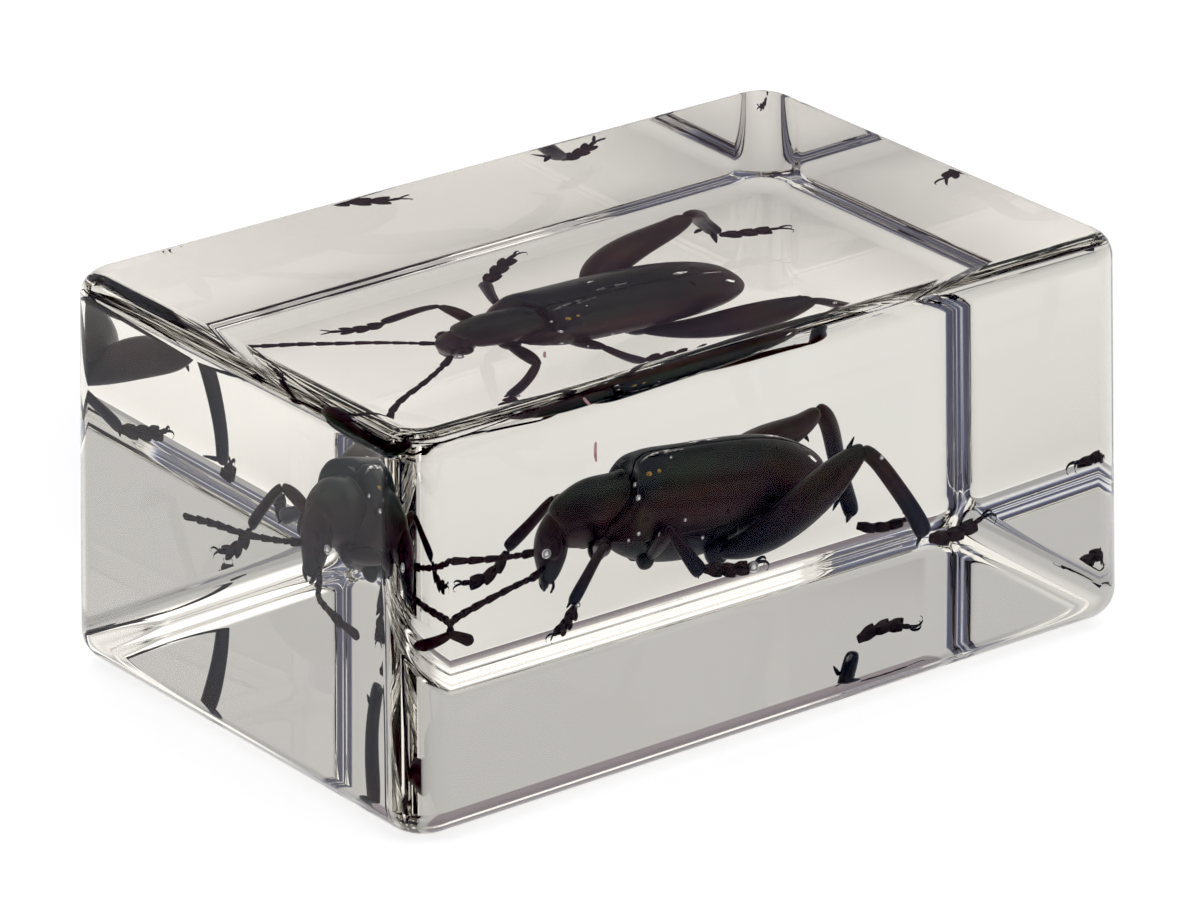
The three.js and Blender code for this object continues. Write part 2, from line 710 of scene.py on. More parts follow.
def wing_case(dome, sign):
    """One half of the dome, with a wall: sign is 1 for the far half and -1 for the near one."""
    half = copy_of(dome)
    edit_all(half)
    bpy.ops.mesh.bisect(plane_co=(0, sign * SEAM_GAP, 0), plane_no=(0, sign, 0), clear_inner=True)
    bpy.ops.mesh.select_all(action="SELECT")
    bpy.ops.mesh.normals_make_consistent(inside=False)
    bpy.ops.object.mode_set(mode="OBJECT")
    apply_modifier(half, "SOLIDIFY", thickness=WING_CASE_WALL, offset=-1)
    smoother(half, 1)
    place_by(half, LAY_BODY)
    return half


dome = wing_case_dome()
near_wing_case = skin_piece(wing_case(dome, -1), "near_wing_case")
far_wing_case = skin_piece(wing_case(dome, 1), "far_wing_case")
bpy.data.objects.remove(dome)
print("Wing cases:", len(near_wing_case.data.polygons), "faces each")

# %% [markdown]
# ## Pronotum and scutellum
# The pronotum is the barrel between head and wing cases. Its rear end has a raised rim, which two
# extra rings give. The scutellum is the small triangle where the wing cases meet it.

# %% Pronotum and scutellum
PRONOTUM_RINGS = spine([
    (-7.42, 9.72, 0.8, 0.8),
    (-7.4, 9.74, 1.02, 1.12),
    (-7.22, 9.78, 1.18, 1.32),
    (-7.02, 9.8, 1.26, 1.4),
    (-6.85, 9.82, 1.32, 1.46),
    (-6.2, 9.88, 1.54, 1.7),
    (-5.5, 9.92, 1.66, 1.78),
    (-4.8, 9.95, 1.62, 1.72),
    (-4.2, 9.95, 1.54, 1.66),
    (-3.85, 9.93, 1.62, 1.72),
    (-3.7, 9.92, 1.68, 1.76),
    (-3.55, 9.9, 1.5, 1.56),
])


def model_pronotum():
    barrel = grow(PRONOTUM_RINGS, sides=20)
    for sign in (-1, 1):
        pull(barrel, near((-6.6, sign * 1.35, 10.1), 0.6), (-0.05, sign * 0.1215, -0.05), 0.9)
    smoother(barrel)
    place_by(barrel, LAY_BODY)
    return barrel


def model_scutellum():
    let_go()
    bpy.ops.mesh.primitive_circle_add(
        vertices=3, radius=0.55, fill_type="NGON", location=(-3.7, 0, 12.0),
        rotation=(0, 0, math.radians(-90)))
    plate = just_added()
    edit_all(plate)
    bpy.ops.mesh.extrude_region_move(TRANSFORM_OT_translate={"value": (0, 0, 0.14)})
    bpy.ops.transform.resize(value=(0.7, 0.7, 1), center_override=(-3.7, 0, 12.14))
    bpy.ops.mesh.select_all(action="SELECT")
    bpy.ops.mesh.bevel(offset=0.05, segments=2)
    bpy.ops.object.mode_set(mode="OBJECT")
    smoother(plate)
    place_by(plate, LAY_BODY)
    return plate


skin_piece(model_pronotum(), "pronotum")
skin_piece(model_scutellum(), "scutellum")
print("Pieces so far:", len(PIECES))

# %% [markdown]
# ## Chest and belly
# Below the wing cases the body is a keel: the chest carries the middle and hind legs, and the belly is
# made of five overlapping plates. Each plate starts a little inside the belly's outline, stands proud
# of it at its rear edge and then steps in, so the plates show as ledges and not as a drawn line.

# %% Chest and belly
CHEST_RINGS = spine([
    (-4.5, 9.3, 1.2, 0.95),
    (-4.1, 9.1, 1.6, 1.3),
    (-3.3, 8.8, 2.05, 1.7),
    (-2.3, 8.6, 2.35, 1.95),
    (-1.2, 8.4, 2.5, 2.08),
    (0, 8.3, 2.52, 2.15),
    (1, 8.3, 2.5, 2.1),
    (1.5, 8.35, 2.3, 1.9),
])
BELLY_PLATES = [
    (0.9, 7.88, 2.55, 1.24),
    (2.5, 7.95, 2.50, 1.18),
    (3.8, 8.05, 2.32, 1.08),
    (5.0, 8.20, 2.00, 0.90),
    (6.1, 8.35, 1.58, 0.70),
    (7.1, 8.60, 0.95, 0.42),
]
PLATE_OVERLAP = 0.12


def model_belly():
    rows = []
    for plate, (next_x, next_z, next_wide, next_high) in zip(BELLY_PLATES, BELLY_PLATES[1:]):
        x, z, wide, high = plate
        edge = next_x - PLATE_OVERLAP
        rows.append((x, z, wide * 0.96, high * 0.93))
        rows.append((x + 0.15, z, wide * 0.98, high * 0.97))
        rows.append((edge, next_z, next_wide * 1.02, next_high * 1.05))
        rows.append((edge + 0.05, next_z, next_wide * 0.97, next_high * 0.96))
    x, z, wide, high = BELLY_PLATES[-1]
    rows.append((x, z, wide * 0.6, high * 0.6))
    belly = grow(spine(rows), sides=24)
    smoother(belly)
    place_by(belly, LAY_BODY)
    return belly


skin_piece(body_part(CHEST_RINGS, 24), "chest_plate")
skin_piece(model_belly(), "belly_plates")
print("Belly plates:", len(BELLY_PLATES) - 1)

# %% [markdown]
# ## Head
# The head hangs down from the pronotum and narrows to the mouth. The capsule is grown along that
# line. The eyes are domes on its sides with a facet for each lens, made by insetting every face of a
# ball on its own. Upper lip, jaws and the short feelers of the mouth are small grown parts.

# %% Head, eyes and mouth
HEAD_RINGS = spine([
    (-6.9, 10.1, 0.85, 0.75),
    (-7.35, 9.75, 1, 0.88),
    (-7.62, 9.3, 1.1, 0.95),
    (-7.7, 8.7, 1.1, 0.98),
    (-7.7, 8.15, 1, 0.92),
    (-7.74, 7.65, 0.85, 0.75),
    (-7.8, 7.25, 0.7, 0.6),
    (-7.86, 6.95, 0.55, 0.45),
])
EYE_PLACE = Vector((-7.8, 1.02, 8.95))
EYE_SIZE = (0.42, 0.36, 0.60)


def model_eye(sign):
    let_go()
    bpy.ops.mesh.primitive_ico_sphere_add(
        subdivisions=4, radius=1, location=(EYE_PLACE.x, sign * EYE_PLACE.y, EYE_PLACE.z),
        scale=EYE_SIZE)
    eye = just_added()
    pull(eye, lambda co: co.x < -7.9 and abs(co.z - 9.05) < 0.2, (0.12, 0, 0), 0.25)
    bpy.ops.mesh.select_mode(type="FACE")
    bpy.ops.mesh.select_all(action="SELECT")
    bpy.ops.mesh.inset(thickness=0.008, depth=0.008, use_individual=True)
    bpy.ops.object.mode_set(mode="OBJECT")
    place_by(eye, LAY_BODY)
    return eye


def mirrored(rings, sign):
    return [((x, sign * y, z), wide, high) for (x, y, z), wide, high in rings]


LIP_RINGS = spine([
    (-8.28, 7.55, 0.50, 0.10),
    (-8.28, 7.2, 0.46, 0.10),
    (-8.2, 6.85, 0.34, 0.09),
])
JAW_RINGS = [
    ((-8.02, 0.42, 7.1), 0.20, 0.16),
    ((-8.1, 0.40, 6.8), 0.17, 0.15),
    ((-8.1, 0.26, 6.55), 0.12, 0.12),
    ((-8.05, 0.08, 6.42), 0.05, 0.06),
]
PALP_RINGS = [
    ((-7.75, 0.38, 7.05), 0.09, 0.09),
    ((-7.66, 0.48, 6.85), 0.11, 0.11),
    ((-7.64, 0.50, 6.78), 0.07, 0.07),
    ((-7.66, 0.48, 6.62), 0.11, 0.11),
    ((-7.68, 0.44, 6.55), 0.07, 0.07),
    ((-7.74, 0.36, 6.36), 0.08, 0.08),
]

skin_piece(body_part(HEAD_RINGS, 20), "head")
skin_piece(body_part(LIP_RINGS, 12), "upper_lip")
for label, sign in (("near", -1), ("far", 1)):
    skin_piece(model_eye(sign), label + "_eye")
    skin_piece(body_part(mirrored(JAW_RINGS, sign)), label + "_jaw")
    finish_piece(body_part(mirrored(PALP_RINGS, sign)), label + "_palp", JOINT)
print("Pieces so far:", len(PIECES))

# %% [markdown]
# ## Feelers
# Each feeler has eleven segments. They thicken towards their far end and are pinched where they join,
# which gives the beaded edge. The path is a short list of points, and the helper measures its way
# along it, so the segments keep their length round the bends. The near feeler is folded and
# swollen near its tip.


# %% Feelers
def along(points, distance):
    """The point at a distance along a list of points."""
    for start, end in zip(points, points[1:]):
        length = (end - start).length
        if distance <= length:
            return start.lerp(end, distance / length)
        distance -= length
    return points[-1].copy()


def softened(points, rounds=3):
    """Cuts the corners of a path, so that it bends as a living thing does."""
    for _ in range(rounds):
        cut = [points[0]]
        for start, end in zip(points, points[1:]):
            cut += [start.lerp(end, 0.25), start.lerp(end, 0.75)]
        points = [*cut, points[-1]]
    return points


def path_length(points):
    return sum((end - start).length for start, end in zip(points, points[1:]))


SEGMENT_SHARES = [1.15, 0.55, 0.9, 1.0, 1.05, 1.05, 1.05, 1.0, 1.0, 0.95, 1.2]
SEGMENT_WIDTHS = [0.26, 0.19, 0.20, 0.215, 0.225, 0.235, 0.24, 0.25, 0.25, 0.245, 0.21]
# Along one segment: share of its length, share of its width
SEGMENT_SHAPE = [(0.02, 0.6), (0.12, 0.8), (0.5, 0.88), (0.8, 1.04), (0.93, 0.96), (0.995, 0.62)]


def model_feeler(points, tip=1.0):
    """A feeler along a path. tip thickens the last two segments."""
    path = softened([Vector(point) for point in points])
    unit = path_length(path) / sum(SEGMENT_SHARES)
    widths = [*SEGMENT_WIDTHS[:-2], *(wide * tip for wide in SEGMENT_WIDTHS[-2:])]
    rings = []
    done = 0
    for share, wide in zip(SEGMENT_SHARES, widths):
        for part, size in SEGMENT_SHAPE:
            centre = along(path, (done + share * part) * unit)
            rings.append((tuple(centre), wide * size, wide * size))
        done += share
    feeler = grow(rounded(rings), sides=8, side=(0, 0, 1))
    smoother(feeler, 1)
    return feeler


NEAR_FEELER = [
    (-8.35, 0.62, 7.85), (-8.9, 0.2, 7.68), (-9.9, -0.45, 7.76), (-11.0, -1.1, 7.82), (-12.0, -1.6, 7.8),
    (-13.0, -2.05, 7.78), (-14.2, -2.8, 7.8), (-15.3, -3.9, 7.95), (-16.2, -5.2, 7.95),
    (-16.3, -5.75, 7.85), (-15.75, -6.0, 7.6), (-15.26, -6.5, 7.32),
]
FAR_FEELER = [
    (-8.1, 1.85, 8.4), (-8.6, 2.35, 8.3), (-9.4, 3.17, 8.2), (-10.65, 4.2, 8.18), (-12.0, 4.95, 8.33),
    (-13.5, 5.79, 8.62), (-15.0, 6.45, 8.82), (-16.02, 7.12, 8.9),
]
finish_piece(model_feeler(NEAR_FEELER, 1.55), "near_feeler", JOINT)
finish_piece(model_feeler(FAR_FEELER), "far_feeler", JOINT)
print("Segments in each feeler:", len(SEGMENT_SHARES))

# %% [markdown]
# ## Legs
# A leg is a ball-like hip, a thigh, a shin, a foot of padded segments and a pair of claws. Fore and
# middle legs are alike. The hind thighs are the mark of this beetle: they are as thick as its head is
# long, with a tooth near the knee, and the hind shins are bowed, with a tooth inside and a spur at the
# end. The table gives points along the middle of each limb, and the direction its upper side faces.

# %% Thighs and shins
# Each point of a thigh, a shin or a foot is x, y, z; a thigh and a shin add the half width there
LEGS = {
    "near_fore": {
        "hip": (-5.45, -0.1, 8.25),
        "thigh": [(-5.5, -0.3, 8.2, 0.36), (-5.7, -1.3, 8.5, 0.54), (-6.0, -2.4, 8.9, 0.56),
                  (-6.35, -3.4, 9.15, 0.35)],
        "shin": [(-6.4, -3.5, 9.15, 0.28), (-7.05, -4.05, 8.9, 0.32), (-7.8, -4.45, 8.2, 0.35),
                 (-8.65, -4.55, 7.2, 0.43)],
        "foot": [(-8.6, -4.6, 6.9), (-8.95, -4.75, 6.35), (-9.5, -5.0, 6.05), (-10.0, -5.2, 6.0)],
        "pads": 0.62,
        "claws": 0.55,
        "up": (-0.5, -0.3, 0.8),
    },
    "far_fore": {
        "hip": (-5.45, 1.9, 8.5),
        "thigh": [(-5.5, 2.0, 8.6, 0.36), (-5.6, 2.9, 9.3, 0.54), (-5.75, 3.8, 9.85, 0.56),
                  (-5.95, 4.6, 10.0, 0.35)],
        "shin": [(-6.1, 4.8, 9.98, 0.29), (-6.5, 5.2, 9.55, 0.32), (-7.1, 5.6, 8.85, 0.35),
                 (-8.3, 5.95, 7.95, 0.43)],
        "foot": [(-8.4, 6.05, 7.6), (-8.75, 6.5, 6.75), (-9.5, 6.95, 6.25), (-10.4, 7.45, 6.3)],
        "pads": 0.62,
        "claws": 0.6,
        "up": (-0.6, -0.2, 0.8),
    },
    "near_mid": {
        "hip": (-2.75, -0.4, 7.15),
        "thigh": [(-2.6, -0.7, 7.3, 0.38), (-2.6, -1.7, 7.9, 0.55), (-2.6, -2.7, 8.5, 0.56),
                  (-2.55, -3.5, 8.95, 0.36)],
        "shin": [(-2.5, -3.6, 8.95, 0.3), (-2.25, -4.1, 8.4, 0.34), (-1.8, -4.5, 7.6, 0.4),
                 (-1.25, -4.75, 6.8, 0.5)],
        "foot": [(-1.0, -4.85, 6.85), (0.0, -4.9, 6.6), (1.0, -5.0, 6.3), (1.9, -5.1, 6.4)],
        "pads": 0.72,
        "claws": 0.85,
        "up": (0.1, -0.3, 1),
    },
    "far_mid": {
        "hip": (-2.75, 1.2, 7.3),
        "thigh": [(-2.7, 1.4, 7.4, 0.38), (-2.8, 2.3, 7.9, 0.55), (-2.95, 3.2, 8.4, 0.56),
                  (-3.1, 3.95, 8.7, 0.36)],
        "shin": [(-3.1, 4.05, 8.7, 0.3), (-2.55, 5.2, 8.2, 0.34), (-1.9, 6.4, 7.6, 0.39),
                 (-1.35, 7.3, 7.1, 0.47)],
        "foot": [(-1.2, 7.45, 6.95), (0.1, 8.4, 7.0), (1.4, 9.2, 7.1), (2.0, 9.4, 7.2)],
        "pads": 0.72,
        "claws": 0.7,
        "up": (-0.2, 0.3, 1),
    },
    "near_hind": {
        "hip": (1.2, -1.2, 6.7),
        "thigh": [(1.4, -1.7, 6.6, 0.46), (2.5, -2.9, 6.85, 0.79), (3.7, -3.9, 7.55, 1.07),
                  (5.02, -4.7, 8.52, 1.19), (6.28, -5.35, 9.5, 1.09), (7.3, -5.75, 10.3, 0.8),
                  (8.0, -6.0, 10.8, 0.5)],
        "shin": [(8.1, -6.15, 10.8, 0.4), (8.6, -6.3, 10.4, 0.43), (9.15, -6.45, 9.7, 0.46),
                 (9.8, -6.55, 8.75, 0.47), (10.55, -6.65, 7.65, 0.48), (11.15, -6.8, 6.6, 0.52),
                 (11.5, -6.9, 5.85, 0.56)],
        "foot": [(11.9, -6.95, 5.4), (12.7, -7.0, 5.25), (13.9, -7.1, 5.3), (15.0, -7.15, 5.65)],
        "pads": 0.78,
        "claws": 0.9,
        "up": (0, -0.2, 1),
    },
    "far_hind": {
        "hip": (1.2, 2.0, 7.2),
        "thigh": [(1.6, 2.4, 7.6, 0.45), (2.7, 3.8, 8.55, 0.88), (4.45, 4.9, 9.2, 1.06),
                  (6.6, 5.7, 9.45, 1.02), (8.4, 6.15, 9.42, 0.86), (9.6, 6.48, 9.55, 0.66),
                  (10.4, 6.75, 9.85, 0.5)],
        "shin": [(10.75, 6.86, 9.95, 0.46), (11.3, 7.1, 9.4, 0.58), (11.75, 7.45, 8.4, 0.64),
                 (12.1, 7.75, 7.2, 0.6), (12.5, 7.95, 5.9, 0.56), (12.9, 7.95, 4.7, 0.54),
                 (13.15, 7.85, 3.8, 0.52)],
        "foot": [(13.5, 7.75, 3.0), (14.3, 7.55, 2.7), (15.3, 7.3, 2.62), (16.3, 6.75, 2.85)],
        "pads": 0.74,
        "claws": 0.85,
        "up": (0, 0.2, 1),
    },
}


def model_hip(place, size):
    """A hip: a ball, pulled out to a short cone on the side where the thigh turns in it."""
    let_go()
    bpy.ops.mesh.primitive_uv_sphere_add(
        segments=20, ring_count=12, radius=size, location=place, scale=(1, 1.15, 0.95))
    hip = just_added()
    pull(hip, lambda co: co.z < place[2] - 0.75 * size, (0, 0, -0.25 * size), size)
    bpy.ops.object.mode_set(mode="OBJECT")
    return hip


def model_limb(rows, height, up):
    limb = grow(rounded(limb_rings(rows, height)), sides=12, side=up)
    smoother(limb)
    return limb


for label, leg in LEGS.items():
    hip_size, thigh_height = (0.75, 1.25) if label.endswith("hind") else (0.55, 0.85)
    skin_piece(model_hip(leg["hip"], hip_size), label + "_hip")
    skin_piece(model_limb(leg["thigh"], thigh_height, leg["up"]), label + "_thigh")
    skin_piece(model_limb(leg["shin"], 0.85, leg["up"]), label + "_shin")
print("Pieces with thighs and shins:", len(PIECES))

# %% [markdown]
# Teeth and spurs are small cones grown where they stand: one near the knee of each hind thigh, one
# inside each hind shin, and a spur at the end of every shin. A line gives three points and half widths.

# %% Teeth and spurs
TEETH = {
    "near_hind_knee_tooth": [
        (7.3, -5.55, 10.9, 0.26), (7.55, -5.65, 11.25, 0.17), (7.72, -5.7, 11.6, 0.05)],
    "near_hind_shin_tooth": [
        (10.6, -6.6, 7.4, 0.22), (10.42, -6.6, 7.2, 0.14), (10.3, -6.6, 7.05, 0.05)],
    "near_hind_spur": [
        (11.4, -6.9, 5.9, 0.32), (11.2, -6.9, 5.55, 0.20), (11.02, -6.9, 5.2, 0.05)],
    "far_hind_knee_tooth": [
        (9.7, 6.6, 9.0, 0.24), (9.9, 6.65, 8.75, 0.15), (10.05, 6.7, 8.5, 0.05)],
    "far_hind_shin_tooth": [
        (12.4, 8.0, 4.7, 0.26), (12.2, 8.05, 4.4, 0.17), (12.05, 8.1, 4.1, 0.05)],
    "far_hind_spur": [
        (13.0, 7.8, 3.8, 0.30), (12.6, 7.1, 3.75, 0.16), (12.3, 6.6, 3.7, 0.05)],
    "near_mid_spur": [
        (-1.4, -4.75, 6.9, 0.22), (-1.35, -4.7, 6.6, 0.13), (-1.3, -4.68, 6.4, 0.04)],
    "far_mid_spur": [
        (-1.4, 7.3, 7.1, 0.22), (-1.5, 7.5, 6.85, 0.13), (-1.6, 7.6, 6.65, 0.04)],
    "near_fore_spur": [
        (-8.75, -4.55, 7.3, 0.2), (-8.9, -4.45, 7.05, 0.12), (-9.0, -4.4, 6.9, 0.04)],
    "far_fore_spur": [
        (-8.3, 5.9, 7.9, 0.2), (-8.25, 6.1, 7.6, 0.12), (-8.2, 6.2, 7.4, 0.04)],
}
for label, rows in TEETH.items():
    tooth = grow(limb_rings(rows, 0.7), sides=8, side=(0.3, 1, 0.2))
    smoother(tooth)
    skin_piece(tooth, label)
print("Teeth and spurs:", len(TEETH))

# %% [markdown]
# ## Feet
# The three foot pads of a leaf beetle are heart-shaped, with two lobes in front and a narrow heel. One
# pad is modelled from a cube: cut up with Subdivide, pinched at the heel, notched between the lobes.
# It is copied for every foot, and each copy is laid along the foot's line. A thin last segment rises
# from between the lobes and carries two hooked claws.


# %% Feet
def model_pad():
    """A foot pad one unit long, with its lobes towards +X and its sole down."""
    let_go()
    bpy.ops.mesh.primitive_cube_add(size=1, location=(0, 0, 0), scale=(1.0, 0.72, 0.34))
    pad = just_added()
    edit_all(pad)
    bpy.ops.mesh.subdivide(number_cuts=3)
    pick(pad, "VERT", lambda co: co.x < -0.2)
    bpy.ops.transform.resize(value=(1, 0.45, 0.7), center_override=(-0.3, 0, 0.05))
    pick(pad, "VERT", lambda co: co.x > 0.4 and abs(co.y) < 0.1)
    bpy.ops.transform.translate(value=(-0.34, 0, 0.02))
    pick(pad, "VERT", lambda co: co.x > 0.2)
    bpy.ops.transform.resize(value=(1, 1.15, 0.75), center_override=(0.4, 0, -0.08))
    bpy.ops.object.mode_set(mode="OBJECT")
    smoother(pad)
    return pad


def lay_along(start, end, up, scale):
    """The matrix that lays a unit piece from start to end, with a scale in its own directions."""
    ahead = (end - start).normalized()
    left = up.cross(ahead).normalized()
    lift = ahead.cross(left)
    turn = Matrix((ahead, left, lift)).transposed().to_4x4()
    return Matrix.Translation((start + end) / 2) @ turn @ Matrix.Diagonal((*scale, 1))


# Steps along a claw: ahead, up, sideways, half width
CLAW_STEPS = [
    (0, 0, 0.05, 0.15), (0.35, 0.12, 0.20, 0.14), (0.68, 0.04, 0.32, 0.11),
    (0.88, -0.22, 0.38, 0.085), (0.82, -0.48, 0.38, 0.06), (0.62, -0.62, 0.34, 0.025),
]


def model_claws(root, ahead, up, size):
    """Two hooks that spread from the end of the foot and curl down."""
    left = up.cross(ahead).normalized()
    lift = ahead.cross(left)
    hooks = []
    for sign in (-1, 1):
        rings = []
        for reach, rise, spread, wide in CLAW_STEPS:
            centre = root + size * (ahead * reach + lift * rise + left * sign * spread)
            rings.append((tuple(centre), wide * size, wide * size))
        hooks.append(grow(rings, sides=6, side=lift))
    claws = join_pieces(hooks)
    smoother(claws, 1)
    return claws


# Shares of a foot's length: where each pad begins and ends, and the last segment's rings
PAD_SHARES = [(0.0, 0.32), (0.27, 0.60), (0.54, 0.86)]
STEM_RINGS = [(0.72, 0.10), (0.80, 0.12), (0.88, 0.14), (0.95, 0.17), (1.0, 0.15)]
PAD_STRETCH = (1.15, 1.45, 2.4)

pad = model_pad()
for label, leg in LEGS.items():
    path = softened([Vector(point) for point in leg["foot"]])
    up = Vector(leg["up"]).normalized()
    length = path_length(path)
    for number, shares in enumerate(PAD_SHARES, 1):
        start, finish = (along(path, share * length) for share in shares)
        sides = ((finish - start).length, leg["pads"], leg["pads"])
        scale = [side * stretch for side, stretch in zip(sides, PAD_STRETCH)]
        copy = copy_of(pad)
        place_by(copy, lay_along(start, finish, up, scale))
        finish_piece(copy, f"{label}_pad_{number}", JOINT)
    stem = [(tuple(along(path, share * length) + up * 0.06), wide, wide) for share, wide in STEM_RINGS]
    last = grow(rounded(stem), sides=8, side=up)
    smoother(last)
    finish_piece(last, label + "_claw_segment", JOINT)
    ahead = (path[-1] - path[-3]).normalized()
    skin_piece(model_claws(path[-1] + up * 0.05, ahead, up, leg["claws"]), label + "_claws")
bpy.data.objects.remove(pad)
print("Pieces with feet:", len(PIECES))

# %% [markdown]
# ## Trapped air
# Air clings to a dry insect when resin is poured over it. Round bubbles sit on the skin and show as
# bright rings. Thin films lie in hollows and along the seam as silver streaks. A bubble is a ball
# whose far side is pressed flatter. A film is a small sheet, narrowed to a leaf shape, cast
# straight down onto the wing cases with Shrinkwrap and given a thickness.

# %% Bubbles
# Name, place, radius, finish
BUBBLES = [
    ("head_bubble", (-8.5, -0.28, 8.78), 0.24, AIR),
    ("near_mid_foot_bubble", (1.73, -5.4, 6.35), 0.27, AIR),
    ("near_fore_shin_bubble", (-8.45, -4.75, 7.0), 0.15, AIR),
    ("chest_bubble", (-2.80, -2.95, 8.75), 0.17, AIR),
    ("near_knee_bubble", (8.95, -6.75, 10.35), 0.12, AIR),
    ("side_bubble_front", (-1.26, -2.65, 9.05), 0.09, AIR),
    ("side_bubble_rear", (-0.05, -2.2, 7.75), 0.09, AIR),
    ("side_bubble_top", (1.35, -2.25, 10.0), 0.05, AIR),
    ("side_bubble_middle", (1.49, -2.47, 9.2), 0.06, AIR),
    ("back_bubble", (-1.27, -0.65, 11.87), 0.07, AIR),
    ("front_bubble_high", (-3.42, -0.75, 11.05), 0.12, AIR),
    ("front_bubble_middle", (-3.62, -1.72, 10.6), 0.16, AIR),
    ("front_bubble_low", (-3.72, -1.9, 8.87), 0.12, AIR),
    ("front_bubble_lowest", (-4.2, -1.6, 8.6), 0.09, AIR),
    # The last three are painted glints of the metallic skin: small golden mirrors, golden to reddish.
    ("golden_glint_front", (-2.78, -1.15, 11.44), 0.19, GOLDEN_GLINT),
    ("golden_glint_rear", (-2.2, -1.15, 11.46), 0.15, GOLDEN_GLINT),
    ("red_glint", (-2.33, -1.78, 10.8), 0.06, GOLDEN_GLINT),
]


def model_bubble(place, size):
    let_go()
    bpy.ops.mesh.primitive_uv_sphere_add(segments=24, ring_count=16, radius=size, location=place)
    bubble = just_added()
    pressed = place[1] + 0.6 * size
    pick(bubble, "VERT", lambda co: co.y > pressed)
    bpy.ops.transform.resize(value=(1, 0.2, 1), center_override=(place[0], pressed, place[2]))
    bpy.ops.object.mode_set(mode="OBJECT")
    return bubble


for label, place, size, finish in BUBBLES:
    finish_piece(model_bubble(place, size), label, finish)
print("Bubbles:", len(BUBBLES))

# %% Air films
# Name, x, y, length, width, turn in degrees, finish
FILMS = [
    ("seam_film_front", -1.6, -0.15, 2.6, 0.30, 4, SEAM_FILM),
    ("seam_film_middle", 1.1, 0.55, 1.9, 0.26, -3, SEAM_FILM),
    ("seam_film_rear", 5.13, 0.34, 0.90, 0.27, -2, FILM),
    ("tail_film", 7.02, -1.14, 0.55, 0.27, -15, FILM),
    ("far_film", 0.8, 1.75, 0.40, 0.16, 10, FILM),
]
BACK_CLEAR = 13.5
FILM_WALL = 0.03
FILM_LIFT = 0.015


def model_film(x, y, long, wide, turn, back):
    """A leaf-shaped sheet above the back, cast down onto it."""
    let_go()
    middle = (x, y, BACK_CLEAR)
    bpy.ops.mesh.primitive_grid_add(
        x_subdivisions=14, y_subdivisions=3, size=1, location=middle,
        rotation=(0, 0, math.radians(turn)))
    bpy.context.object.scale = (long, wide, 1)
    film = just_added()
    for share, width in ((0.22, 0.55), (0.40, 0.35)):
        pick(film, "VERT", lambda co: abs(co.x - x) > share * long)
        bpy.ops.transform.resize(value=(1, width, 1), center_override=middle)
    bpy.ops.object.mode_set(mode="OBJECT")
    apply_modifier(
        film, "SHRINKWRAP", target=back, wrap_method="PROJECT", wrap_mode="ABOVE_SURFACE",
        use_project_z=True, use_positive_direction=False, use_negative_direction=True,
        offset=FILM_LIFT)
    apply_modifier(film, "SOLIDIFY", thickness=FILM_WALL, offset=1)
    smoother(film, 1)
    return film


back = join_pieces([copy_of(near_wing_case), copy_of(far_wing_case)])
place_by(back, Matrix.Scale(1 / MM, 4))
for label, x, y, long, wide, turn, finish in FILMS:
    finish_piece(model_film(x, y, long, wide, turn, back), label, finish)
bpy.data.objects.remove(back)
print("Films:", len(FILMS))

# %% [markdown]
# ## The pink fibre
# A single short fibre of lint was caught in the resin, above the head and nearer the front face. It
# is grown like a limb, only much thinner, with the slight bend of a bit of thread.

# %% Fibre
FIBRE_RINGS = [
    ((-7.78, -6.0, 15.25), 0.07, 0.04),
    ((-7.80, -6.0, 15.05), 0.09, 0.05),
    ((-7.83, -6.02, 14.8), 0.10, 0.05),
    ((-7.82, -6.03, 14.55), 0.09, 0.05),
    ((-7.77, -6.0, 14.3), 0.07, 0.05),
]
fibre = grow(rounded(FIBRE_RINGS), sides=8, side=(1, 0, 0))
smoother(fibre)
finish_piece(fibre, "pink_fibre", FIBRE)
print("All pieces:", len(PIECES))

# %% [markdown]
# ## The floor
# Clear resin has no look of its own: it shows what is round it. The floor is a pale light table: it
# glows a little by itself, so the block throws hardly any shadow on it. Behind the block, where its
# shadow would lie, the floor is a touch greyer, and under the block, where a clear block gathers the
# light, it is a touch brighter. Each of the two is a distance from a place, turned into a grey.

# %% Floor
FLOOR_SIZE = 6
FLOOR_DROP = 0.0001
FLOOR_GLOW = 0.55
OUTSIDE_SHARE = 0.70
SHADE_PLACE = Vector((18, 28, 0)) * MM
SHADE_REACH = Vector((1 / 42, 1 / 30, 0)) / MM
SHADE_GREYS = [(0.45, grey(0.76)), (0.75, grey(0.87)), (1.0, grey(1))]
UNDER_PLACE = Vector()
UNDER_REACH = Vector((1 / 21.2, 1 / 13.8, 0)) / MM
UNDER_GREYS = [(0.75, grey(1)), (1.0, grey(OUTSIDE_SHARE))]


def offset_from(tree, place, reach):
    """How far a floor point lies from a place, along X and along Y, as shares of a reach."""
    kind = "ShaderNodeVectorMath"
    moved = add_node(tree, kind, {0: object_position(tree), 1: place}, operation="SUBTRACT")
    shared = add_node(tree, kind, {0: moved.outputs[0], 1: reach}, operation="MULTIPLY")
    return add_node(tree, kind, {0: shared.outputs[0]}, operation="ABSOLUTE").outputs[0]


def round_mask(tree, place, reach, greys):
    """Greys that follow the distance from a place, on ellipses."""
    length = add_node(
        tree, "ShaderNodeVectorMath", {0: offset_from(tree, place, reach)}, operation="LENGTH")
    return ramp(tree, length.outputs["Value"], greys)


